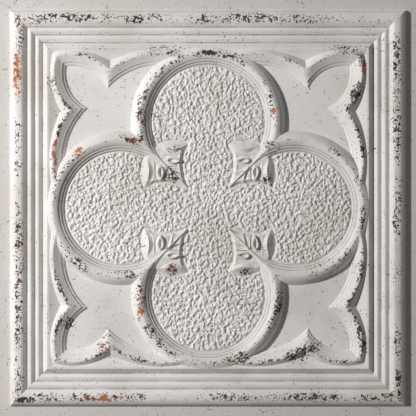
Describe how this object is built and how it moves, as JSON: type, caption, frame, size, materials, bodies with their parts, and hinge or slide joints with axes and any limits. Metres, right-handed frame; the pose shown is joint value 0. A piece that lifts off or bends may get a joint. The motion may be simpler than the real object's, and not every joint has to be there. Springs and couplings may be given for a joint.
{
  "type": "ceiling tile",
  "caption": "Square pressed sheet steel ceiling tile with a stepped frame, a stippled four-lobed field, cusped corners and leaf tips, in chipped white paint.",
  "frame": {"origin": "middle of the underside of the flat border, on the plane that the tile lies on", "axes": "+Z out of the decorated face, +X and +Y along two sides; the tile's four-fold axis is Z"},
  "size_m": [0.603, 0.603, 0.012],
  "materials": {
    "painted_sheet": "chipped matt white paint over tinned steel"
  },
  "bodies": {
    "root": {"ceiling_tile": "painted_sheet"}
  },
  "joints": []
}
